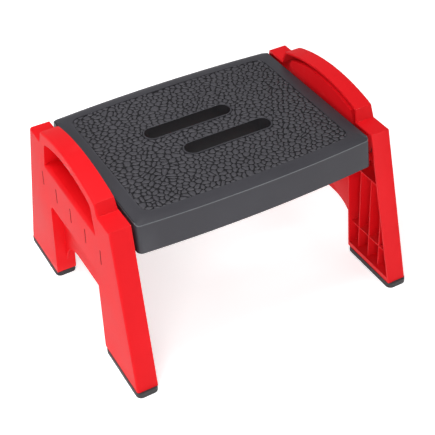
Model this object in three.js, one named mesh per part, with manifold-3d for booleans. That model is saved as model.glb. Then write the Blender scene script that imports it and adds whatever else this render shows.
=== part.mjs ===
// Folding step stool: one moulded seat deck carried by two hinged end frames.
// Millimetres, +X along the seat, -Y is the front, +Z up, origin on the floor under the middle.
import * as THREE from 'three';
import * as BufferGeometryUtils from 'three/addons/utils/BufferGeometryUtils.js';
import Module from 'manifold-3d';

const wasm = await Module();
wasm.setup();

// ---------------------------------------------------------------- driving dimensions
const GAP = 0.3; // clearance between pieces that touch
const WALL = 3; // general moulded wall
const JOIN = 1; // how far joined solids run into each other
const PAST = 5; // how far a cutting solid runs past the face it cuts
const FAR = 500; // beyond the whole stool

const SEAT_LENGTH = 360;
const SEAT_DEPTH = 275.6; // at the two ends
const SEAT_BOW = 7.7; // each long side bows out by this much in its middle
const BOW_STEPS = 14;
const CORNER_STEPS = 4;
const BORDER_SHARES = [0.7, 0.35]; // rings across the rolled border, 1 at its outer edge
const SEAT_TOP = 249.5;
const APRON_HEIGHT = 45.7;
const APRON_FLARE_X = 2; // how far the apron spreads out at its lower edge
const APRON_FLARE_Y = 5.6;
const SEAT_CORNER = 7;
const SEAT_EDGE = 1.5; // round on the top edge
const ROLL_X = 1; // how far the border falls away towards the short sides
const ROLL_Y = 3.2; // and towards the long sides
const DECK_THICK = 4.5;
const TREAD_LENGTH = 319.5; // the shallow tray that holds the pebble grain
const TREAD_DEPTH = 238.2; // at its two ends
const TREAD_CORNER = 13.5;
const TREAD_SINK = 1.2;
const TREAD_BORDER = 4; // level strip around the tray
const SLOT_LENGTH = 136;
const SLOT_WIDTH = 26;
const SLOT_SHIFT_X = 16; // the two slots are staggered
const SLOT_SHIFT_Y = 30;
const SLOT_DROP = 30; // depth of the collar around a slot
const SLOT_RIM = 2; // plain rim between a slot and the tray
const RIB = 2;
const RIB_DROP = 20;
const LONG_RIBS_Y = [-105, -62, 0, 62, 105];
const CROSS_RIBS_X = [-135, -100, 100, 135];

const OUTER_X = 225; // outer face of an end frame at floor level
const INNER_X = 194; // its open inner side
const LEAN = 10 / 277; // the frames lean in as they rise
const FOOT_TOP = 9; // the legs stand in caps of this height
const FOOT_HALF = 195.3; // half depth of the frame at the floor
const SHOULDER_HALF = 135;
const SHOULDER_Z = 249.3;
const FRAME_ROUND = 3.5; // round along the outer edge
const BAND_FOOT = 100; // half length of the handle arch where it leaves the shoulders
const BAND_CORNER_Y = 93;
const BAND_CORNER_Z = 267.5;
const BAND_TOP = 281.6;
const BAND_RADIUS = 304;
const BAND_EASE = 6; // the ends of the arch are cut across their corners by this much
const BAND_SET_LOW = 1; // set-back of the arch's open side at the shoulders
const BAND_SET_HIGH = 4; // and at its top
const WEB_INNER = 205.2; // the wall set back in the middle of the frame's thickness
const WEB_OUTER = 207.9;
const GRIP_INNER = 198.2; // the back wall of the finger recess, close to the open side
const GRIP_OUTER = 201.2;
const GRIP_SILL = 215; // finger recess under the handle arch
const GRIP_HALF_LOW = 87.3;
const GRIP_HALF_HIGH = 79.2;
const GRIP_END_TOP = 255;
const GRIP_TOP = 268.1;
const GRIP_RADIUS = 231.8;
const GRIP_EASE = 4;
const SILL_ROUND = 6;
const ARCH_TOP = 147; // recess above the gap between the legs
const ARCH_CORNER = 13;
const ARCH_HALF = 89; // half gap between the legs at the floor
const ARCH_TAPER = 0.05;
const WEB_LOW = 76; // lower edge of the set-back wall
const WEB_ROUND = 55;
const LEG_RIBS_Y = [108, 133, 158];
const LEG_CROSS_RIBS_Z = [57, 165];
const LEG_RIB_EDGE = 199; // the ribs stop short of the open side

const AXIS_X = 193.5; // hinge axis, parallel to Y
const AXIS_Z = 181;
const ROD_RADIUS = 2.5;
const ROD_HALF = 109;
const CAP_RADIUS = 5;
const CAP_LENGTH = 6.5;
const CAP_OVERLAP = 4.5;
const CAP_CHAMFER = 1.2;
const CAP_LEAD = 0.6;
const ROUND_SIDES = 16;
const CROWN_STEPS = 12; // flats along the crown of an arch
const HOOKS_Y = [-100, -50, 0, 50, 100];
const HOOK_THICK = 4;
const HOOK_RADIUS = 7;
const HOOK_MOUTH = 4.4;
const SLIT_WIDTH = 2.2;
const SLIT_DEPTH = 6;
const SLIT_LOW = 171;
const SLIT_HIGH = 195.5;
const LUGS_Y = [-75, -25, 25, 75];
const LUG_THICK = 8;
const LUG_RADIUS = 7;
const LUG_INNER_X = 166;
const LUG_CUT_X = 8; // cut across a lug's lower inner corner
const LUG_CUT_Z = 4;
const LUG_ROOT = 12; // how much wider a lug is where it meets the deck

const PAD_PROUD = 0.7; // a foot cap stands out this far around its leg
const PAD_CORNER = 8;
const PAD_STEPS = 3;
const PLUG_HEIGHT = 4;
const PLUG_WALL = 2.5;
const PLUG_SLACK = 1; // the plug's clearance inside the leg, beyond the gap
const LEG_FLOOR = FOOT_TOP + PLUG_HEIGHT + PLUG_SLACK; // underside of the floor across each leg

// ---------------------------------------------------------------- helpers
const material = (color, roughness, metalness) =>
  new THREE.MeshStandardMaterial({ color, roughness, metalness });
const RED = material(0xe8262c, 0.42, 0);
const GRAPHITE = material(0x4a494e, 0.55, 0);
const PAD_BLACK = material(0x3c3b3d, 0.7, 0);
const STEEL = material(0xb4b6b8, 0.3, 1);

// A flat outline in (Y, Z) is pushed out along +X from x0 to x1.
const ALONG_X = new THREE.Matrix4().makeBasis(
  new THREE.Vector3(0, 1, 0),
  new THREE.Vector3(0, 0, 1),
  new THREE.Vector3(1, 0, 0),
);
// A flat outline in (X, Z) is pushed out along -Y.
const ALONG_Y = new THREE.Matrix4().makeBasis(
  new THREE.Vector3(1, 0, 0),
  new THREE.Vector3(0, 0, 1),
  new THREE.Vector3(0, -1, 0),
);

function solid(geometry) {
  const bare = geometry.clone();
  bare.deleteAttribute('normal');
  bare.deleteAttribute('uv');
  const merged = BufferGeometryUtils.mergeVertices(bare);
  const vertProperties = new Float32Array(merged.attributes.position.array);
  const triVerts = new Uint32Array(merged.index.array);
  return new wasm.Manifold(new wasm.Mesh({ numProp: 3, vertProperties, triVerts }));
}

function geometryOf(body) {
  const mesh = body.getMesh();
  const geometry = new THREE.BufferGeometry();
  const positions = new THREE.BufferAttribute(new Float32Array(mesh.vertProperties), 3);
  geometry.setAttribute('position', positions);
  geometry.setIndex(new THREE.BufferAttribute(new Uint32Array(mesh.triVerts), 1));
  return geometry;
}

function box(x0, x1, y0, y1, z0, z1) {
  const geometry = new THREE.BoxGeometry(x1 - x0, y1 - y0, z1 - z0);
  geometry.translate((x0 + x1) / 2, (y0 + y1) / 2, (z0 + z1) / 2);
  return solid(geometry);
}

const plain = (depth, curveSegments) => ({ depth, curveSegments, bevelEnabled: false });

function pushX(shape, x0, x1, curveSegments = 12) {
  const geometry = new THREE.ExtrudeGeometry(shape, plain(x1 - x0, curveSegments));
  geometry.applyMatrix4(ALONG_X);
  geometry.translate(x0, 0, 0);
  return solid(geometry);
}

function pushY(shape, middleY, thick, curveSegments = 5) {
  const geometry = new THREE.ExtrudeGeometry(shape, plain(thick, curveSegments));
  geometry.applyMatrix4(ALONG_Y);
  geometry.translate(0, middleY + thick / 2, 0);
  return solid(geometry);
}

function roundedRectangle(length, depth, radius) {
  const x = length / 2;
  const y = depth / 2;
  const shape = new THREE.Shape();
  shape.absarc(x - radius, y - radius, radius, 0, Math.PI / 2);
  shape.absarc(-x + radius, y - radius, radius, Math.PI / 2, Math.PI);
  shape.absarc(-x + radius, -y + radius, radius, Math.PI, 1.5 * Math.PI);
  shape.absarc(x - radius, -y + radius, radius, 1.5 * Math.PI, 2 * Math.PI);
  return shape;
}

function disc(x, z, radius) {
  const shape = new THREE.Shape();
  shape.absarc(x, z, radius, 0, 2 * Math.PI);
  return shape;
}

function reshape(body, move) {
  const geometry = geometryOf(body);
  const position = geometry.attributes.position;
  const point = new THREE.Vector3();
  for (let i = 0; i < position.count; i += 1) {
    point.fromBufferAttribute(position, i);
    move(point);
    position.setXYZ(i, point.x, point.y, point.z);
  }
  return geometry;
}

// The mirror image across the XZ plane, with its faces turned the right way out again.
function mirrored(geometry) {
  const copy = geometry.clone().scale(1, -1, 1);
  const index = copy.index.array;
  for (let i = 0; i < index.length; i += 3) {
    [index[i], index[i + 1]] = [index[i + 1], index[i]];
  }
  return copy;
}

// ---------------------------------------------------------------- seat deck
const bowAt = (x) => 1 + (2 * SEAT_BOW / SEAT_DEPTH) * (1 - (2 * x / SEAT_LENGTH) ** 2);

// The seat is drawn as straight-sided rings, then its long sides are bowed and its apron flared.
function seatForm(geometry) {
  const position = geometry.attributes.position;
  for (let i = 0; i < position.count; i += 1) {
    const x = position.getX(i);
    const z = position.getZ(i);
    const drop = (SEAT_TOP - z) / APRON_HEIGHT;
    const spreadX = 1 + (drop * APRON_FLARE_X) / (SEAT_LENGTH / 2);
    const spreadY = 1 + (drop * APRON_FLARE_Y) / (SEAT_DEPTH / 2);
    position.setXYZ(i, x * spreadX, position.getY(i) * bowAt(x) * spreadY, z);
  }
  return solid(geometry);
}

// Once round a rectangle with rounded corners. The height may depend on the way out of the outline.
function ring(length, depth, corner, height) {
  const points = [];
  const add = (x, y, outX, outY) => points.push([x, y, height(Math.abs(outX), Math.abs(outY))]);
  [[1, 1], [-1, 1], [-1, -1], [1, -1]].forEach(([sideX, sideY], quarter) => {
    const x = sideX * (length / 2 - corner);
    const y = sideY * (depth / 2 - corner);
    for (let i = 0; i <= CORNER_STEPS; i += 1) {
      const angle = ((quarter + i / CORNER_STEPS) * Math.PI) / 2;
      const outX = Math.cos(angle);
      const outY = Math.sin(angle);
      add(x + corner * outX, y + corner * outY, outX, outY);
    }
    const onLongSide = quarter % 2 === 0;
    for (let i = 1; onLongSide && i < BOW_STEPS; i += 1) {
      add(x * (1 - (2 * i) / BOW_STEPS), (sideY * depth) / 2, 0, sideY);
    }
  });
  return points;
}

// A closed body through a stack of rings, from the lowest to the highest.
function loft(rings) {
  const count = rings[0].length;
  const top = (rings.length - 1) * count;
  const index = [];
  for (let a = 0; a < top; a += 1) {
    const b = a % count === count - 1 ? a - count + 1 : a + 1;
    index.push(a, b, b + count, a, b + count, a + count);
  }
  for (let i = 1; i < count - 1; i += 1) {
    index.push(0, i + 1, i, top, top + i, top + i + 1);
  }
  const geometry = new THREE.BufferGeometry();
  geometry.setAttribute('position', new THREE.Float32BufferAttribute(rings.flat(2), 3));
  geometry.setIndex(index);
  return geometry;
}

const levelRing = (length, depth, corner, z) => ring(length, depth, corner, () => z);

function seatBlock() {
  const edge = (inset, dip) => ring(
    SEAT_LENGTH - 2 * inset,
    SEAT_DEPTH - 2 * inset,
    SEAT_CORNER - inset,
    (outX, outY) => SEAT_TOP - dip - ROLL_X * outX - ROLL_Y * outY,
  );
  // From the outer edge, share 1, in to the level strip, share 0.
  const border = (share) => {
    const mix = (inner, outer) => inner + share * (outer - inner);
    return ring(
      mix(TREAD_LENGTH + 2 * TREAD_BORDER, SEAT_LENGTH - 2 * SEAT_EDGE),
      mix(TREAD_DEPTH + 2 * TREAD_BORDER, SEAT_DEPTH - 2 * SEAT_EDGE),
      mix(TREAD_CORNER + TREAD_BORDER, SEAT_CORNER - SEAT_EDGE),
      (outX, outY) => SEAT_TOP - share ** 2 * (ROLL_X * outX + ROLL_Y * outY),
    );
  };
  const half = SEAT_EDGE * Math.SQRT1_2;
  return seatForm(loft([
    levelRing(SEAT_LENGTH, SEAT_DEPTH, SEAT_CORNER, SEAT_TOP - APRON_HEIGHT),
    edge(0, SEAT_EDGE),
    edge(SEAT_EDGE - half, SEAT_EDGE - half),
    border(1),
    ...BORDER_SHARES.map(border),
    border(0),
  ]));
}

function slot(grow, low, high) {
  const shape = roundedRectangle(
    SLOT_LENGTH + 2 * grow,
    SLOT_WIDTH + 2 * grow,
    SLOT_WIDTH / 2 + grow - 0.01,
  );
  const geometry = new THREE.ExtrudeGeometry(shape, plain(high - low, 6));
  geometry.translate(0, 0, low);
  return geometry;
}

function slotPair(grow, low, high) {
  const rear = slot(grow, low, high).translate(-SLOT_SHIFT_X, SLOT_SHIFT_Y, 0);
  const front = slot(grow, low, high).translate(SLOT_SHIFT_X, -SLOT_SHIFT_Y, 0);
  return solid(rear).add(solid(front));
}

// One hinge lug: a plate that comes down inside the apron and reaches out under it to the rod.
function lug(side, y) {
  const low = AXIS_Z - LUG_RADIUS;
  const root = SEAT_TOP - DECK_THICK + JOIN;
  const shape = new THREE.Shape();
  shape.moveTo(LUG_INNER_X, low + LUG_CUT_Z);
  shape.lineTo(LUG_INNER_X + LUG_CUT_X, low);
  shape.lineTo(AXIS_X, low);
  shape.absarc(AXIS_X, AXIS_Z, LUG_RADIUS, -Math.PI / 2, Math.PI / 4);
  shape.lineTo(SEAT_LENGTH / 2 - JOIN, SEAT_TOP - APRON_HEIGHT + WALL);
  shape.lineTo(SEAT_LENGTH / 2 - JOIN, root);
  shape.lineTo(LUG_INNER_X - LUG_ROOT, root);
  const plate = pushY(shape, y, LUG_THICK);
  const hole = pushY(disc(AXIS_X, AXIS_Z, ROD_RADIUS + GAP), y, LUG_THICK + PAST);
  const cut = plate.subtract(hole);
  return side > 0 ? cut : solid(geometryOf(cut).rotateZ(Math.PI));
}

function seatDeck() {
  const low = SEAT_TOP - APRON_HEIGHT;
  const insideRing = (z) => (
    levelRing(SEAT_LENGTH - 2 * WALL, SEAT_DEPTH - 2 * WALL, SEAT_CORNER - WALL, z)
  );
  const inside = seatForm(loft([insideRing(low - PAST), insideRing(SEAT_TOP - DECK_THICK)]));
  let deck = seatBlock().subtract(inside);

  const ribLow = SEAT_TOP - DECK_THICK - RIB_DROP;
  const ribHigh = SEAT_TOP - DECK_THICK + JOIN;
  const reachX = SEAT_LENGTH / 2 - JOIN;
  for (const y of LONG_RIBS_Y) {
    deck = deck.add(box(-reachX, reachX, y - RIB / 2, y + RIB / 2, ribLow, ribHigh));
  }
  for (const x of CROSS_RIBS_X) {
    const reachY = (SEAT_DEPTH / 2) * bowAt(x) - WALL + JOIN;
    deck = deck.add(box(x - RIB / 2, x + RIB / 2, -reachY, reachY, ribLow, ribHigh));
  }
  deck = deck.add(slotPair(WALL, SEAT_TOP - SLOT_DROP, ribHigh));
  for (const side of [-1, 1]) {
    for (const y of LUGS_Y) {
      deck = deck.add(lug(side, y));
    }
  }
  const trayRing = (z) => levelRing(TREAD_LENGTH, TREAD_DEPTH, TREAD_CORNER, z);
  const tray = seatForm(loft([trayRing(SEAT_TOP - TREAD_SINK), trayRing(SEAT_TOP + PAST)]));
  const rims = slotPair(SLOT_RIM, low, SEAT_TOP + 2 * PAST);
  return deck.subtract(tray.subtract(rims)).subtract(slotPair(0, low, SEAT_TOP + PAST));
}

// ---------------------------------------------------------------- end frames
// The frame is drawn upright with its outer face towards +X, then leaned.

const edgeSlope = (FOOT_HALF - SHOULDER_HALF) / SHOULDER_Z;
const halfDepthAt = (z) => FOOT_HALF - edgeSlope * z;
const archHalfAt = (z) => ARCH_HALF - ARCH_TAPER * z;

// Points of a circular arc over the middle, from +half to -half.
function crownPoints(half, top, radius) {
  const centre = top - radius;
  const swing = Math.asin(half / radius);
  const points = [];
  for (let i = 0; i <= CROWN_STEPS; i += 1) {
    const angle = swing * (1 - (2 * i) / CROWN_STEPS);
    points.push([radius * Math.sin(angle), centre + radius * Math.cos(angle)]);
  }
  return points;
}

// The outer silhouette without the gap between the legs, pulled in by inset.
function frameOutline(inset, low) {
  const slant = inset * Math.hypot(1, edgeSlope);
  const shoulder = SHOULDER_Z - inset;
  const right = [
    [halfDepthAt(low) - slant, low],
    [halfDepthAt(shoulder) - slant, shoulder],
    [BAND_FOOT - inset, shoulder],
    [BAND_CORNER_Y - inset, BAND_CORNER_Z - inset],
  ];
  const crownHalf = BAND_CORNER_Y - inset - BAND_EASE;
  const crown = crownPoints(crownHalf, BAND_TOP - inset, BAND_RADIUS - inset);
  const left = right.map(([y, z]) => [-y, z]).reverse();
  return new THREE.Shape([...right, ...crown, ...left].map(([y, z]) => new THREE.Vector2(y, z)));
}

function gripOutline(grow) {
  const crown = crownPoints(
    GRIP_HALF_HIGH - GRIP_EASE + grow,
    GRIP_TOP + grow,
    GRIP_RADIUS + grow,
  );
  const right = [
    [GRIP_HALF_LOW + grow, GRIP_SILL - grow],
    [GRIP_HALF_HIGH + grow, GRIP_END_TOP - GRIP_EASE],
  ];
  const left = right.map(([y, z]) => [-y, z]).reverse();
  return new THREE.Shape([...right, ...crown, ...left].map(([y, z]) => new THREE.Vector2(y, z)));
}

function archOutline(top, radius, grow, low) {
  const half = (z) => archHalfAt(z) + grow;
  const ceiling = top + grow;
  const round = radius + grow;
  const side = half(ceiling - round);
  const shape = new THREE.Shape();
  shape.moveTo(half(low), low);
  shape.lineTo(side, ceiling - round);
  shape.absarc(side - round, ceiling - round, round, 0, Math.PI / 2);
  shape.absarc(-side + round, ceiling - round, round, Math.PI / 2, Math.PI);
  shape.lineTo(-half(low), low);
  return shape;
}

function roundedBlock() {
  const low = FOOT_TOP - FRAME_ROUND - PAST;
  const geometry = new THREE.ExtrudeGeometry(frameOutline(FRAME_ROUND, low), {
    depth: OUTER_X - INNER_X,
    bevelEnabled: true,
    bevelSize: FRAME_ROUND,
    bevelThickness: FRAME_ROUND,
    bevelSegments: 4,
  });
  geometry.applyMatrix4(ALONG_X);
  geometry.translate(INNER_X - FRAME_ROUND, 0, 0);
  const inward = box(-FAR, INNER_X, -FAR, FAR, -FAR, FAR);
  const under = box(-FAR, FAR, -FAR, FAR, -FAR, FOOT_TOP);
  return solid(geometry).subtract(inward).subtract(under);
}

// What the draft on the open side of the handle arch takes off.
function bandDraft() {
  const top = BAND_TOP + JOIN;
  const shape = new THREE.Shape();
  shape.moveTo(INNER_X - PAST, SHOULDER_Z);
  shape.lineTo(INNER_X + BAND_SET_LOW, SHOULDER_Z);
  shape.lineTo(INNER_X + BAND_SET_HIGH, top);
  shape.lineTo(INNER_X - PAST, top);
  return pushY(shape, 0, 2 * BAND_FOOT + PAST);
}

// What the round along the sill of the finger recess takes off.
function sillRound() {
  const x = OUTER_X - SILL_ROUND;
  const z = GRIP_SILL - SILL_ROUND;
  const corner = box(x, OUTER_X + PAST, -GRIP_HALF_LOW, GRIP_HALF_LOW, z, GRIP_SILL + JOIN);
  return corner.subtract(pushY(disc(x, z, SILL_ROUND), 0, 2 * GRIP_HALF_LOW + PAST, 10));
}

// The ribs inside one leg: upright ones, each up to the slanting wall, and two across.
function legRibs(side) {
  const back = OUTER_X - WALL + JOIN;
  const low = LEG_FLOOR + WALL - JOIN;
  const ribs = [];
  const rib = (near, far, bottom, top) => {
    const [y0, y1] = side > 0 ? [near, far] : [-far, -near];
    ribs.push(box(LEG_RIB_EDGE, back, y0, y1, bottom, top));
  };
  for (const y of LEG_RIBS_Y) {
    const underWall = (FOOT_HALF - y - RIB / 2 - WALL / 2) / edgeSlope;
    rib(y - RIB / 2, y + RIB / 2, low, Math.min(underWall, LEG_CROSS_RIBS_Z[1]));
  }
  for (const z of LEG_CROSS_RIBS_Z) {
    rib(archHalfAt(z) + JOIN, halfDepthAt(z) - JOIN, z - RIB / 2, z + RIB / 2);
  }
  return ribs;
}

// A hook rib behind each slit: it clips over the rod from the open side.
function hook(y) {
  const axis = AXIS_X + LEAN * AXIS_Z;
  const arm = box(axis, OUTER_X - WALL + JOIN, y - HOOK_THICK / 2, y + HOOK_THICK / 2,
    AXIS_Z - HOOK_RADIUS, AXIS_Z + HOOK_RADIUS);
  const eye = pushY(disc(axis, AXIS_Z, HOOK_RADIUS), y, HOOK_THICK);
  const bore = pushY(disc(axis, AXIS_Z, ROD_RADIUS + GAP), y, HOOK_THICK + PAST);
  const mouth = box(axis - 2 * HOOK_RADIUS, axis, y - HOOK_THICK, y + HOOK_THICK,
    AXIS_Z - HOOK_MOUTH / 2, AXIS_Z + HOOK_MOUTH / 2);
  return arm.add(eye).subtract(bore).subtract(mouth);
}

// An upright block over the +Y leg's outline at height z, grown by grow, from low to high.
function legBlock(grow, z, low, high) {
  const near = archHalfAt(z) - grow;
  const far = halfDepthAt(z) + grow;
  const shape = roundedRectangle(OUTER_X - INNER_X + 2 * grow, far - near, PAD_CORNER);
  const geometry = new THREE.ExtrudeGeometry(shape, plain(high - low, PAD_STEPS));
  geometry.translate((OUTER_X + INNER_X) / 2, (near + far) / 2, low);
  return solid(geometry);
}

// The hollow under a leg's floor that takes the plug of its cap.
const legSocket = () => legBlock(-WALL, LEG_FLOOR, FOOT_TOP - PAST, LEG_FLOOR);

function endFrame() {
  const low = FOOT_TOP - PAST;
  const skin = OUTER_X - WALL;
  const past = OUTER_X + PAST;
  const openSide = INNER_X - PAST;
  const arch = (grow, x0, x1) => pushX(archOutline(ARCH_TOP, ARCH_CORNER, grow, low), x0, x1);
  const legFloors = box(-FAR, FAR, -FAR, FAR, -FAR, LEG_FLOOR + WALL);

  const legWalls = arch(WALL, openSide, skin + JOIN).subtract(arch(0, openSide - PAST, WEB_INNER));
  const gripBox = pushX(gripOutline(WALL), GRIP_INNER, skin + JOIN);
  const cavity = pushX(frameOutline(WALL, low), openSide, skin)
    .subtract(legWalls)
    .subtract(legFloors)
    .subtract(gripBox);

  let frame = roundedBlock()
    .subtract(cavity)
    .subtract(bandDraft())
    .subtract(arch(0, openSide, WEB_INNER));
  for (const rib of [...legRibs(-1), ...legRibs(1)]) {
    frame = frame.add(rib);
  }
  for (const y of HOOKS_Y) {
    const slit = box(OUTER_X - SLIT_DEPTH, past, y - SLIT_WIDTH / 2, y + SLIT_WIDTH / 2,
      SLIT_LOW, SLIT_HIGH);
    frame = frame.add(hook(y)).subtract(slit);
  }
  return frame
    .subtract(pushX(archOutline(WEB_LOW, WEB_ROUND, 0, low), openSide, past))
    .subtract(arch(0, WEB_OUTER, past))
    .subtract(pushX(gripOutline(0), GRIP_OUTER, past))
    .subtract(sillRound())
    .subtract(legSocket())
    .subtract(solid(mirrored(geometryOf(legSocket()))));
}

const lean = (body) => reshape(body, (point) => {
  point.x -= LEAN * point.z;
});

// ---------------------------------------------------------------- foot caps
function footCap() {
  const pad = legBlock(PAD_PROUD, 0, 0, FOOT_TOP - GAP);
  const inset = WALL + GAP + PLUG_SLACK;
  const top = FOOT_TOP + PLUG_HEIGHT;
  const plug = legBlock(-inset, top, FOOT_TOP - JOIN, top);
  const hollow = legBlock(-inset - PLUG_WALL, top, FOOT_TOP - JOIN, top + PAST);
  return pad.add(plug).subtract(hollow);
}

// ---------------------------------------------------------------- hinge rods
const hingeRod = () => (
  new THREE.CylinderGeometry(ROD_RADIUS, ROD_RADIUS, 2 * ROD_HALF, ROUND_SIDES)
);

function rodCap() {
  const bore = ROD_RADIUS + GAP;
  const profile = [
    [0, CAP_OVERLAP + GAP],
    [bore, CAP_OVERLAP + GAP],
    [bore, 0],
    [CAP_RADIUS - CAP_LEAD, 0],
    [CAP_RADIUS, CAP_LEAD],
    [CAP_RADIUS, CAP_LENGTH - CAP_CHAMFER],
    [CAP_RADIUS - CAP_CHAMFER, CAP_LENGTH],
    [0, CAP_LENGTH],
  ].map(([r, h]) => new THREE.Vector2(r, h));
  return new THREE.LatheGeometry(profile, ROUND_SIDES);
}

// ---------------------------------------------------------------- assembly
function addPiece(parent, name, geometry, finish) {
  const mesh = new THREE.Mesh(geometry, finish);
  mesh.name = name;
  parent.add(mesh);
  return mesh;
}

const group = new THREE.Group();
addPiece(group, 'seat_deck', geometryOf(seatDeck()), GRAPHITE);

const frameGeometry = lean(endFrame());
const capGeometry = lean(footCap());
for (const [side, turn] of [['right', 0], ['left', Math.PI]]) {
  const half = new THREE.Group();
  half.rotation.z = turn;
  group.add(half);
  addPiece(half, `${side}_end_frame`, frameGeometry, RED);
  for (const end of [-1, 1]) {
    // The right frame's -Y leg is at the front; the left frame is turned half a circle.
    const place = (end < 0) === (turn === 0) ? 'front' : 'rear';
    const foot = end > 0 ? capGeometry : mirrored(capGeometry);
    addPiece(half, `${side}_${place}_foot_cap`, foot, PAD_BLACK);
    const rodEnd = addPiece(half, `${side}_${place}_rod_cap`, rodCap(), PAD_BLACK);
    rodEnd.rotation.x = end > 0 ? 0 : Math.PI;
    rodEnd.position.set(AXIS_X, end * (ROD_HALF - CAP_OVERLAP), AXIS_Z);
  }
  const rod = addPiece(half, `${side}_hinge_rod`, hingeRod(), STEEL);
  rod.position.set(AXIS_X, 0, AXIS_Z);
}

export default group;
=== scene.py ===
"""Looks of the folding step stool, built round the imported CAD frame. Metres, +Z up, -Y is the front."""
import math
import random

import bmesh
import bpy
from mathutils import Matrix, Vector
from mathutils.geometry import convex_hull_2d

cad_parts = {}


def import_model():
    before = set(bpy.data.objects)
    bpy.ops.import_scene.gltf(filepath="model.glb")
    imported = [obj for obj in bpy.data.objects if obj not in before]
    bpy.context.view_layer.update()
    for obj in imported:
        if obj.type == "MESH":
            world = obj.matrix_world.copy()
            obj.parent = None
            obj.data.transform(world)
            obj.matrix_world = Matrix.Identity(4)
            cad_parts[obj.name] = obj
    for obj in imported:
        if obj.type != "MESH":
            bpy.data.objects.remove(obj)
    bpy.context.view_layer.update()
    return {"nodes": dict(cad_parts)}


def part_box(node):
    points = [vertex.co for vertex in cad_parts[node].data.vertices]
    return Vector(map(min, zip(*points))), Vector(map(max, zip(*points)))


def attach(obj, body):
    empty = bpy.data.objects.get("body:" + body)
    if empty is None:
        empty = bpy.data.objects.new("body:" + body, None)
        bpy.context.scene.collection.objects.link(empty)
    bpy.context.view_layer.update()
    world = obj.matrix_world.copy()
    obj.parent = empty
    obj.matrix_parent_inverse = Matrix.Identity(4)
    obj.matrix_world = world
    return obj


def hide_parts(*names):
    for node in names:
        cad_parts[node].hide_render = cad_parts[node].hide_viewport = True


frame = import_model()

MM = 0.001

# ---------------------------------------------------------------- driving sizes
SEAT_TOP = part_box("seat_deck")[1].z
TREAD_SINK = 1.2 * MM  # depth of the tray in the deck's top
TREAD_FLOOR = SEAT_TOP - TREAD_SINK
SLOT_LENGTH = 136 * MM
SLOT_WIDTH = 26 * MM
SLOT_RIM = 2 * MM  # plain strip between a hand slot and the grain
SLOT_SHIFT = Vector((-16 * MM, 30 * MM))  # middle of the rear hand slot; the front one is opposite
SLOTS = (SLOT_SHIFT, -SLOT_SHIFT)
RIM_DROP = 6 * MM  # the deck's outer slope lies within this of the top
RIM_START = (170 * MM, 130 * MM)  # and outside one of these distances from the middle
SLIT_PITCH = 50 * MM  # the five thin slits of an end frame
SLIT_REACH = 1.75 * MM
SLIT_SPAN = (170.3 * MM, 196.2 * MM)

PEBBLE_PITCH = (9.2 * MM, 7.1 * MM)
PEBBLE_JITTER = 0.44  # share of the pitch
PEBBLE_MERGED = 0.07  # share of the pebbles left out, so that their neighbours grow together
PEBBLE_GROOVE = 0.9 * MM
PEBBLE_SMALLEST = 3.2 * MM
PEBBLE_CORNER = 0.8 * MM  # corners closer than this become one
PEBBLE_SOFTENING = 0.3  # share of a side that is cut off at each corner
PEBBLE_LIFT = (-0.12 * MM, 0.08 * MM)
PEBBLE_TILT = 0.04
PEBBLE_SEED = 11
# (share of the outline's reach, height over the tray floor), from the sunk foot to the crown
PEBBLE_RINGS = (
    (1.0, -0.1 * MM), (0.985, 0.25 * MM), (0.94, 0.58 * MM), (0.86, 0.86 * MM),
    (0.72, 1.1 * MM), (0.5, 1.3 * MM), (0.25, 1.4 * MM))
# painted shade: the pebbles' sides are painted darker towards their foot, for the shadow in the grooves
SHADED_FLANK_SPAN = (TREAD_FLOOR + 0.1 * MM, TREAD_FLOOR + 0.9 * MM)  # a pebble's side darkens down this

EDGE_ROUND = 0.55 * MM
EDGE_SEGMENTS = 3
# the deck and the end frames paint their rounded edges paler and glossier as a painted highlight
EDGE_INDEX = 1  # material index of the rounded edges
HARD_ANGLE = math.radians(28)  # an edge sharper than this is rounded
FLAT_ANGLE = math.radians(0.6)  # faces flatter than this to each other become one
WELD = 0.06 * MM
LEVEL_SLACK = 0.3 * MM  # how far a face may lie from the tray floor and still be part of it
WALL_SLACK = 0.5 * MM  # how far a face may lie from a slot's wall and still be part of it


# ---------------------------------------------------------------- shader helpers
def new_material(name):
    material = bpy.data.materials.new(name)
    material.use_nodes = True
    tree = material.node_tree
    shader = tree.nodes["Principled BSDF"]
    return material, tree, shader


def object_coordinates(tree):
    return tree.nodes.new("ShaderNodeTexCoord").outputs["Object"]


def noise(tree, place, scale, detail=3.0, roughness=0.5):
    node = tree.nodes.new("ShaderNodeTexNoise")
    node.inputs["Scale"].default_value = scale
    node.inputs["Detail"].default_value = detail
    node.inputs["Roughness"].default_value = roughness
    tree.links.new(place, node.inputs["Vector"])
    return node.outputs["Fac"]


def span(tree, value, low, high, to_low, to_high):
    """Maps value from low..high to to_low..to_high, held at both ends."""
    node = tree.nodes.new("ShaderNodeMapRange")
    for name, number in (("From Min", low), ("From Max", high), ("To Min", to_low), ("To Max", to_high)):
        node.inputs[name].default_value = number
    tree.links.new(value, node.inputs["Value"])
    return node.outputs["Result"]


def stretched(tree, place, scale):
    node = tree.nodes.new("ShaderNodeMapping")
    node.inputs["Scale"].default_value = scale
    tree.links.new(place, node.inputs["Vector"])
    return node.outputs["Vector"]


def blend_colour(tree, amount, below, above):
    """The colour below where amount is 0 and above where it is 1; each is a colour or a socket."""
    node = tree.nodes.new("ShaderNodeMix")
    node.data_type = "RGBA"
    for socket, value in ((node.inputs[6], below), (node.inputs[7], above)):
        if isinstance(value, tuple):
            socket.default_value = (*value, 1.0)
        else:
            tree.links.new(value, socket)
    tree.links.new(amount, node.inputs[0])
    return node.outputs[2]


def arithmetic(tree, operation, first, second):
    node = tree.nodes.new("ShaderNodeMath")
    node.operation = operation
    for socket, value in zip(node.inputs, (first, second)):
        tree.links.new(value, socket)
    return node.outputs[0]


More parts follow.
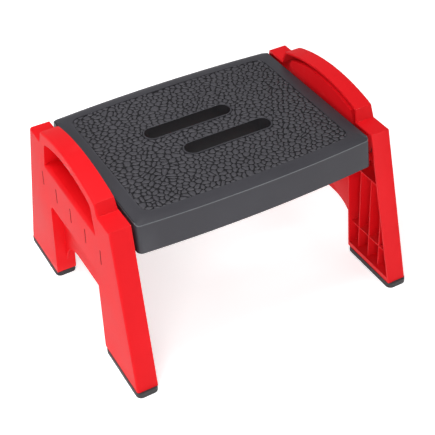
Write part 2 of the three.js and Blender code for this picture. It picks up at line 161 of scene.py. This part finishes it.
def bumped(tree, heights):
    """A chain of bumps: each height is (value, strength, distance)."""
    normal = None
    for value, strength, distance in heights:
        node = tree.nodes.new("ShaderNodeBump")
        node.inputs["Strength"].default_value = strength
        node.inputs["Distance"].default_value = distance
        tree.links.new(value, node.inputs["Height"])
        if normal is not None:
            tree.links.new(normal, node.inputs["Normal"])
        normal = node.outputs["Normal"]
    return normal


# ---------------------------------------------------------------- materials
def moulded_plastic(name, colour, worn, deep, roughness, gloss, grain, grain_strength, shaded_flank=None):
    """Injection-moulded plastic: flow clouds, spark-eroded grain, fine scuffs, paler worn edges.

    Clouds run from deep to colour, and specks and edges towards worn. The flank colour is a painted
    shade that the plastic takes towards the bottom of its span, for the shadow in the grooves.
    """
    material, tree, shader = new_material(name)
    place = object_coordinates(tree)
    clouds = noise(tree, place, 9.0, 4.0, 0.55)
    speckle = noise(tree, place, 900.0, 2.0, 0.6)
    scuffs = noise(tree, stretched(tree, place, (220.0, 1400.0, 700.0)), 1.0, 3.0, 0.7)
    edges = tree.nodes.new("ShaderNodeNewGeometry").outputs["Pointiness"]

    tint = blend_colour(tree, span(tree, clouds, 0.3, 0.7, 0.0, 1.0), deep, colour)
    tint = blend_colour(tree, span(tree, speckle, 0.62, 0.8, 0.0, 0.25), tint, worn)
    tint = blend_colour(tree, span(tree, edges, 0.53, 0.65, 0.0, 0.35), tint, worn)
    # painted shade: darker down the sides towards the tray floor
    if shaded_flank is not None:
        split = tree.nodes.new("ShaderNodeSeparateXYZ")
        tree.links.new(place, split.inputs[0])
        tint = blend_colour(tree, span(tree, split.outputs["Z"], *SHADED_FLANK_SPAN, 0.0, 1.0), shaded_flank, tint)
    tree.links.new(tint, shader.inputs["Base Color"])

    rough = span(tree, clouds, 0.3, 0.7, roughness - 0.04, roughness + 0.05)
    rough = arithmetic(tree, "ADD", rough, span(tree, scuffs, 0.55, 0.8, 0.0, 0.12))
    rough = arithmetic(tree, "SUBTRACT", rough, span(tree, edges, 0.52, 0.6, 0.0, 0.14))
    tree.links.new(rough, shader.inputs["Roughness"])
    shader.inputs["Specular IOR Level"].default_value = gloss

    fine = noise(tree, place, grain, 2.0, 0.6)
    ripple = noise(tree, place, 26.0, 2.0, 0.5)
    normal = bumped(tree, [
        (ripple, 0.25, 0.4 * MM),
        (fine, grain_strength, 0.08 * MM),
        (scuffs, 0.06, 0.03 * MM),
    ])
    tree.links.new(normal, shader.inputs["Normal"])
    return material


def foot_rubber():
    """Matt black rubber with dust in its pores."""
    material, tree, shader = new_material("foot_rubber")
    place = object_coordinates(tree)
    dust = noise(tree, place, 60.0, 5.0, 0.65)
    speckle = noise(tree, place, 1500.0, 2.0, 0.6)
    dusty = span(tree, dust, 0.45, 0.75, 0.0, 0.6)
    tint = blend_colour(tree, dusty, (0.02, 0.0195, 0.021), (0.045, 0.043, 0.042))
    tint = blend_colour(tree, span(tree, speckle, 0.55, 0.75, 0.0, 0.3), tint, (0.06, 0.058, 0.06))
    tree.links.new(tint, shader.inputs["Base Color"])
    tree.links.new(span(tree, dust, 0.3, 0.7, 0.62, 0.8), shader.inputs["Roughness"])
    tree.links.new(bumped(tree, [(speckle, 0.35, 0.1 * MM)]), shader.inputs["Normal"])
    return material


def drawn_steel():
    """Bright steel with fine drawing lines, the colour broken by dull stains."""
    material, tree, shader = new_material("rod_steel")
    place = object_coordinates(tree)
    draw_lines = noise(tree, stretched(tree, place, (2500.0, 12.0, 2500.0)), 1.0, 3.0, 0.6)
    stains = noise(tree, place, 70.0, 4.0, 0.6)
    stained = span(tree, stains, 0.5, 0.75, 0.0, 0.7)
    tint = blend_colour(tree, stained, (0.52, 0.53, 0.54), (0.33, 0.31, 0.29))
    tree.links.new(tint, shader.inputs["Base Color"])
    shader.inputs["Metallic"].default_value = 1.0
    tree.links.new(span(tree, draw_lines, 0.3, 0.7, 0.2, 0.42), shader.inputs["Roughness"])
    tree.links.new(bumped(tree, [(draw_lines, 0.2, 0.03 * MM)]), shader.inputs["Normal"])
    return material


FRAME_RED = moulded_plastic(
    "frame_plastic", colour=(0.73, 0.007, 0.012), worn=(0.78, 0.035, 0.04), deep=(0.66, 0.005, 0.009),
    roughness=0.5, gloss=0.09, grain=1700.0, grain_strength=0.16)
DECK_GREY = moulded_plastic(
    "deck_plastic", colour=(0.038, 0.037, 0.045), worn=(0.1, 0.099, 0.112), deep=(0.031, 0.03, 0.037),
    roughness=0.42, gloss=0.32, grain=1500.0, grain_strength=0.22)
# the tread's pebbles carry a painted shade down their sides
TREAD_GREY = moulded_plastic(
    "tread_plastic", colour=(0.053, 0.051, 0.06), worn=(0.11, 0.108, 0.12), deep=(0.042, 0.04, 0.048),
    roughness=0.54, gloss=0.3, grain=1800.0, grain_strength=0.3, shaded_flank=(0.021, 0.0205, 0.024))
# painted highlights: paler, glossier copies of the frame and deck plastics for the rounded edges, drawn as
# thin light lines
FRAME_EDGE_HIGHLIGHT = moulded_plastic(
    "frame_edge_highlight", colour=(0.8, 0.035, 0.04), worn=(0.86, 0.07, 0.075), deep=(0.76, 0.025, 0.03),
    roughness=0.32, gloss=0.25, grain=1700.0, grain_strength=0.1)
# painted shade: a dark red for the inside of the end frames' thin slits
FRAME_SLIT_SHADE = moulded_plastic(
    "frame_slit_shade", colour=(0.2, 0.004, 0.006), worn=(0.25, 0.01, 0.012), deep=(0.16, 0.003, 0.005),
    roughness=0.6, gloss=0.1, grain=1700.0, grain_strength=0.16)
DECK_EDGE_HIGHLIGHT = moulded_plastic(
    "deck_edge_highlight", colour=(0.13, 0.134, 0.143), worn=(0.18, 0.184, 0.195), deep=(0.11, 0.114, 0.123),
    roughness=0.3, gloss=0.4, grain=1500.0, grain_strength=0.1)
CAP_BLACK = moulded_plastic(
    "cap_plastic", colour=(0.016, 0.016, 0.018), worn=(0.05, 0.05, 0.052), deep=(0.013, 0.013, 0.015),
    roughness=0.45, gloss=0.35, grain=1600.0, grain_strength=0.2)
FOOT_RUBBER = foot_rubber()
ROD_STEEL = drawn_steel()
# painted shade: a near-black copy of the deck plastic for the tray floor between the pebbles and the hand
# slots' walls, where shadow falls
GROOVE_SHADE = moulded_plastic(
    "groove_painted_shade", colour=(0.0125, 0.012, 0.0145), worn=(0.02, 0.0195, 0.022),
    deep=(0.01, 0.0097, 0.0115), roughness=0.6, gloss=0.15, grain=1500.0, grain_strength=0.2)


# ---------------------------------------------------------------- mesh helpers
def finish_piece(name, mesh, material, body):
    piece = bpy.data.objects.new(name, mesh)
    bpy.context.scene.collection.objects.link(piece)
    mesh.materials.append(material)
    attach(piece, body)
    return piece


def smooth_mesh(name, shape):
    """A smooth-shaded mesh from a bmesh, which it frees."""
    mesh = bpy.data.meshes.new(name)
    shape.to_mesh(mesh)
    shape.free()
    for polygon in mesh.polygons:
        polygon.use_smooth = True
    return mesh


def weighted(piece):
    """Big flat faces stay flat and only the small rounds between them shade smoothly."""
    modifier = piece.modifiers.new("weighted_normals", "WEIGHTED_NORMAL")
    modifier.keep_sharp = True
    modifier.weight = 60


def rounded_copy(name, node, width):
    """The CAD node's own faces, with a small moulded round on every hard edge."""
    shape = bmesh.new()
    shape.from_mesh(frame["nodes"][node].data)
    bmesh.ops.remove_doubles(shape, verts=shape.verts, dist=WELD)
    bmesh.ops.dissolve_limit(shape, angle_limit=FLAT_ANGLE, verts=shape.verts, edges=shape.edges)
    hard = [e for e in shape.edges if e.is_manifold and e.calc_face_angle(0) > HARD_ANGLE]
    bmesh.ops.bevel(
        shape, geom=hard, offset=width, offset_type="OFFSET", segments=EDGE_SEGMENTS, profile=0.5,
        affect="EDGES", clamp_overlap=True, material=EDGE_INDEX)
    return smooth_mesh(name, shape)


def paint_light_or_shade(piece, material, is_meant):
    """Gives the faces for which is_meant(corner places, normal) holds another material: here a painted
    shade or a painted highlight.
    """
    data = piece.data
    data.materials.append(material)
    for polygon in data.polygons:
        places = [data.vertices[i].co for i in polygon.vertices]
        if is_meant(places, polygon.normal):
            polygon.material_index = len(data.materials) - 1


def slot_axis_point(point, centre):
    """The nearest point on a hand slot's middle line."""
    half = (SLOT_LENGTH - SLOT_WIDTH) / 2
    return Vector((max(centre.x - half, min(centre.x + half, point.x)), centre.y))


def deck_shaded_hollow(places, normal):
    """The tray floor, seen only as the grooves of the grain, or a slot wall: faces painted near black as
    shade.
    """
    if normal.z > 0.5:
        return all(abs(p.z - TREAD_FLOOR) < LEVEL_SLACK for p in places)
    reach = SLOT_WIDTH / 2 + WALL_SLACK
    return abs(normal.z) < 0.5 and all(
        any((p.xy - slot_axis_point(p.xy, c)).length < reach for c in SLOTS) for p in places)


def deck_highlight_rim(places, normal):
    """The narrow slope between the rolled border and the apron, painted paler as a highlight line."""
    return 0.3 < normal.z < 0.75 and all(
        p.z > SEAT_TOP - RIM_DROP and (abs(p.x) > RIM_START[0] or abs(p.y) > RIM_START[1]) for p in places)


def slit_shaded_hollow(places, _):
    """Anything within a slit of an end frame or its rounded rim, which is painted dark red as shade."""
    return all(
        abs(p.y - SLIT_PITCH * round(p.y / SLIT_PITCH)) < SLIT_REACH and SLIT_SPAN[0] < p.z < SLIT_SPAN[1]
        for p in places)


# ---------------------------------------------------------------- pebble grain
def tray_outline():
    """The tray's outer edge: the hull of the CAD deck's points on the tray floor."""
    vertices = frame["nodes"]["seat_deck"].data.vertices
    points = [v.co.xy for v in vertices if abs(v.co.z - TREAD_FLOOR) < WELD]
    return [points[i].copy() for i in convex_hull_2d(points)]


def clip(polygon, normal, reach):
    """The part of a convex polygon where normal . p is below reach."""
    kept = []
    for i, point in enumerate(polygon):
        following = polygon[(i + 1) % len(polygon)]
        a = normal.dot(point) - reach
        b = normal.dot(following) - reach
        if a <= 0:
            kept.append(point)
        if (a < 0 < b) or (b < 0 < a):
            kept.append(point.lerp(following, a / (a - b)))
    return kept


def pebble_seeds(outline):
    """A jittered grid over the tray, without the points in a hand slot or its rim."""
    rng = random.Random(PEBBLE_SEED)
    length = 2 * max(p.x for p in outline)
    depth = 2 * max(p.y for p in outline)
    columns = round(length / PEBBLE_PITCH[0])
    rows = round(depth / PEBBLE_PITCH[1])
    seeds = []
    for row in range(rows):
        for column in range(columns):
            shift = 0.5 if row % 2 else 0.0
            x = (column + 0.25 + shift + rng.uniform(-PEBBLE_JITTER, PEBBLE_JITTER)) / columns - 0.5
            y = (row + 0.5 + rng.uniform(-PEBBLE_JITTER, PEBBLE_JITTER)) / rows - 0.5
            if rng.random() > PEBBLE_MERGED:
                seeds.append(Vector((x * length, y * depth)))
    clear = SLOT_WIDTH / 2 + SLOT_RIM
    return [s for s in seeds if all((s - slot_axis_point(s, c)).length > clear for c in SLOTS)]


def tray_walls(outline):
    """(outward normal, its reach) of each side of the tray."""
    walls = []
    for i, point in enumerate(outline):
        along = outline[(i + 1) % len(outline)] - point
        if along.length > 0:
            normal = Vector((along.y, -along.x)).normalized()
            walls.append((normal, normal.dot(point)))
    return walls


def seed_walls(seed, others):
    """(normal, reach) of the middle lines between a seed and the others."""
    for other in others:
        if other is not seed:
            between = other - seed
            normal = between.normalized()
            yield normal, normal.dot(seed) + between.length / 2


def slot_walls(seed):
    """(normal, reach) of the line that keeps a seed's cell off each hand slot."""
    for centre in SLOTS:
        toward = slot_axis_point(seed, centre) - seed
        normal = toward.normalized()
        yield normal, normal.dot(seed) + toward.length - SLOT_WIDTH / 2 - SLOT_RIM


def pebble_cells():
    """One convex cell per seed, inside the tray and clear of the slots, pulled in by half a groove."""
    outline = tray_outline()
    seeds = pebble_seeds(outline)
    walls = tray_walls(outline)
    reach = 3.2 * PEBBLE_PITCH[0]  # farther seeds can't touch a cell
    grid = {}
    for seed in seeds:
        grid.setdefault((int(seed.x // reach), int(seed.y // reach)), []).append(seed)
    cells = []
    for seed in seeds:
        gx, gy = int(seed.x // reach), int(seed.y // reach)
        squares = [(ix, iy) for ix in (gx - 1, gx, gx + 1) for iy in (gy - 1, gy, gy + 1)]
        others = [other for square in squares for other in grid.get(square, [])]
        cell = [seed + reach * Vector(corner) for corner in ((-1, -1), (1, -1), (1, 1), (-1, 1))]
        for normal, wall in (*seed_walls(seed, others), *walls, *slot_walls(seed)):
            cell = clip(cell, normal, wall - PEBBLE_GROOVE / 2)
        if len(cell) > 2:
            cells.append(cell)
    return cells


def merged_corners(polygon):
    """Drops corners that are too close to the one before."""
    kept = []
    for point in polygon:
        if not kept or (point - kept[-1]).length > PEBBLE_CORNER:
            kept.append(point)
    if len(kept) > 1 and (kept[0] - kept[-1]).length < PEBBLE_CORNER:
        kept.pop()
    return kept


def softened(polygon):
    """Cuts each corner of a polygon, twice over, so that it ends as a rounded blob."""
    for _ in range(2):
        cut = []
        for i, point in enumerate(polygon):
            following = polygon[(i + 1) % len(polygon)]
            cut.append(point.lerp(following, PEBBLE_SOFTENING))
            cut.append(point.lerp(following, 1 - PEBBLE_SOFTENING))
        polygon = cut
    return polygon


def add_pebble(grain, outline, middle, lift, tilt):
    """A closed domed blob, its foot sunk a little into the tray floor."""
    loops = []
    for share, height in PEBBLE_RINGS:
        loop = []
        for point in outline:
            offset = (point - middle) * share
            rise = 0.0 if height < 0 else lift + tilt.dot(offset)
            loop.append(grain.verts.new((*(middle + offset), TREAD_FLOOR + height + rise)))
        loops.append(loop)
    count = len(outline)
    for lower, upper in zip(loops, loops[1:]):
        for i in range(count):
            j = (i + 1) % count
            grain.faces.new((lower[i], lower[j], upper[j], upper[i]))
    grain.faces.new(loops[-1])
    grain.faces.new(list(reversed(loops[0])))


def tread_grain():
    rng = random.Random(PEBBLE_SEED + 1)
    grain = bmesh.new()
    for cell in pebble_cells():
        cell = merged_corners(cell)
        if len(cell) < 3:
            continue
        middle = sum(cell, Vector((0.0, 0.0))) / len(cell)
        if min((p - middle).length for p in cell) < PEBBLE_SMALLEST / 2:
            continue
        lift = rng.uniform(*PEBBLE_LIFT)
        tilt = Vector((rng.uniform(-1, 1), rng.uniform(-1, 1))) * PEBBLE_TILT
        add_pebble(grain, softened(cell), middle, lift, tilt)
    bmesh.ops.recalc_face_normals(grain, faces=grain.faces)
    finish_piece("tread_grain", smooth_mesh("tread_grain", grain), TREAD_GREY, "seat")


# ---------------------------------------------------------------- the pieces
def shell(name, node, body, material, edge):
    """A rounded copy in place of a CAD node, with a material of its own on the rounded edges; for the deck
    and the end frames that is a paler painted highlight.
    """
    piece = finish_piece(name, rounded_copy(name, node, EDGE_ROUND), material, body)
    piece.data.materials.append(edge)
    weighted(piece)
    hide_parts(node)
    return piece


def carried_over(node, material):
    """A CAD node that is shown as it is, with a new material."""
    mesh = frame["nodes"][node].data
    mesh.materials.clear()
    mesh.materials.append(material)


# the deck's and the end frames' rounded edges carry a painted highlight
deck = shell("deck_shell", "seat_deck", "seat", DECK_GREY, DECK_EDGE_HIGHLIGHT)
# painted shade in the grain's grooves and down the hand slots
paint_light_or_shade(deck, GROOVE_SHADE, deck_shaded_hollow)
# painted highlight along the deck's outer slope
paint_light_or_shade(deck, DECK_EDGE_HIGHLIGHT, deck_highlight_rim)
tread_grain()
for side in ("left", "right"):
    body = f"{side}_end"
    end = shell(f"{side}_frame_shell", f"{side}_end_frame", body, FRAME_RED, FRAME_EDGE_HIGHLIGHT)
    # painted shade inside the thin slits
    paint_light_or_shade(end, FRAME_SLIT_SHADE, slit_shaded_hollow)
    for place in ("front", "rear"):
        foot = f"{side}_{place}_foot"
        shell(f"{foot}_shell", f"{foot}_cap", body, FOOT_RUBBER, FOOT_RUBBER)
        carried_over(f"{side}_{place}_rod_cap", CAP_BLACK)
    carried_over(f"{side}_hinge_rod", ROD_STEEL)


# ---------------------------------------------------------------- stage, lights and camera
CENTRE = Vector((0.0, 0.0, SEAT_TOP / 2))
CAMERA_PLACE = Vector((-0.5503, -1.0516, 1.0763))
CAMERA_AZIMUTH = -28.06
CAMERA_ELEVATION = 39.88
CAMERA_ROLL = math.radians(-2.12)
CAMERA_LENS = 84.6
SENSOR = 36.0
FLOOR_HALF = 4.0
FLOOR_GLOW = 0.56  # a light table, so that the floor stays white under the stool
WORLD_STRENGTH = 0.48


def direction(azimuth, elevation):
    """From the stool towards a point at that azimuth, 0 in front and positive to the right."""
    a, e = math.radians(azimuth), math.radians(elevation)
    return Vector((math.sin(a) * math.cos(e), -math.cos(a) * math.cos(e), math.sin(e)))


def softbox(name, azimuth, elevation, distance, size, power):
    data = bpy.data.lights.new(name, "AREA")
    data.shape = "RECTANGLE"
    data.size, data.size_y = size
    data.energy = power
    light = bpy.data.objects.new(name, data)
    away = direction(azimuth, elevation)
    light.location = CENTRE + distance * away
    light.rotation_euler = away.to_track_quat("Z", "Y").to_euler()
    bpy.context.scene.collection.objects.link(light)
    return light


def floor():
    data = bpy.data.meshes.new("floor")
    corners = [(x * FLOOR_HALF, y * FLOOR_HALF, 0) for x, y in ((-1, -1), (1, -1), (1, 1), (-1, 1))]
    data.from_pydata(corners, [], [(0, 1, 2, 3)])
    material, tree, shader = new_material("floor_paper")
    place = object_coordinates(tree)
    shade = blend_colour(tree, noise(tree, place, 3.0), (0.93, 0.93, 0.93), (0.95, 0.95, 0.95))
    tree.links.new(shade, shader.inputs["Base Color"])
    shader.inputs["Roughness"].default_value = 0.85
    shader.inputs["Emission Color"].default_value = (1.0, 1.0, 1.0, 1.0)
    shader.inputs["Emission Strength"].default_value = FLOOR_GLOW
    data.materials.append(material)
    piece = bpy.data.objects.new("floor", data)
    bpy.context.scene.collection.objects.link(piece)


def world():
    data = bpy.data.worlds.new("studio")
    data.use_nodes = True
    background = data.node_tree.nodes["Background"]
    background.inputs["Color"].default_value = (1.0, 1.0, 1.0, 1.0)
    background.inputs["Strength"].default_value = WORLD_STRENGTH
    bpy.context.scene.world = data


def camera():
    data = bpy.data.cameras.new("photo_camera")
    data.lens = CAMERA_LENS
    data.sensor_width = SENSOR
    data.clip_end = 20.0
    eye = bpy.data.objects.new("photo_camera", data)
    back = direction(CAMERA_AZIMUTH, CAMERA_ELEVATION)
    level = Vector((0, 0, 1)).cross(back).normalized()
    upright = back.cross(level)
    c, s = math.cos(CAMERA_ROLL), math.sin(CAMERA_ROLL)
    right = c * level + s * upright
    up = c * upright - s * level
    eye.matrix_world = Matrix.Translation(CAMERA_PLACE) @ Matrix((right, up, back)).transposed().to_4x4()
    bpy.context.scene.collection.objects.link(eye)
    bpy.context.scene.camera = eye


floor()
world()
softbox("key", -34, 27, 2.6, (1.2, 1.0), 26).visible_glossy = False
softbox("top", -100, 70, 1.1, (0.5, 0.5), 6.8)
softbox("edge", 29, 44, 2.6, (0.8, 0.4), 80).visible_diffuse = False  # only draws lines on rounded edges
camera()
scene = bpy.context.scene
scene.view_settings.view_transform = "Standard"

bpy.context.view_layer.update()
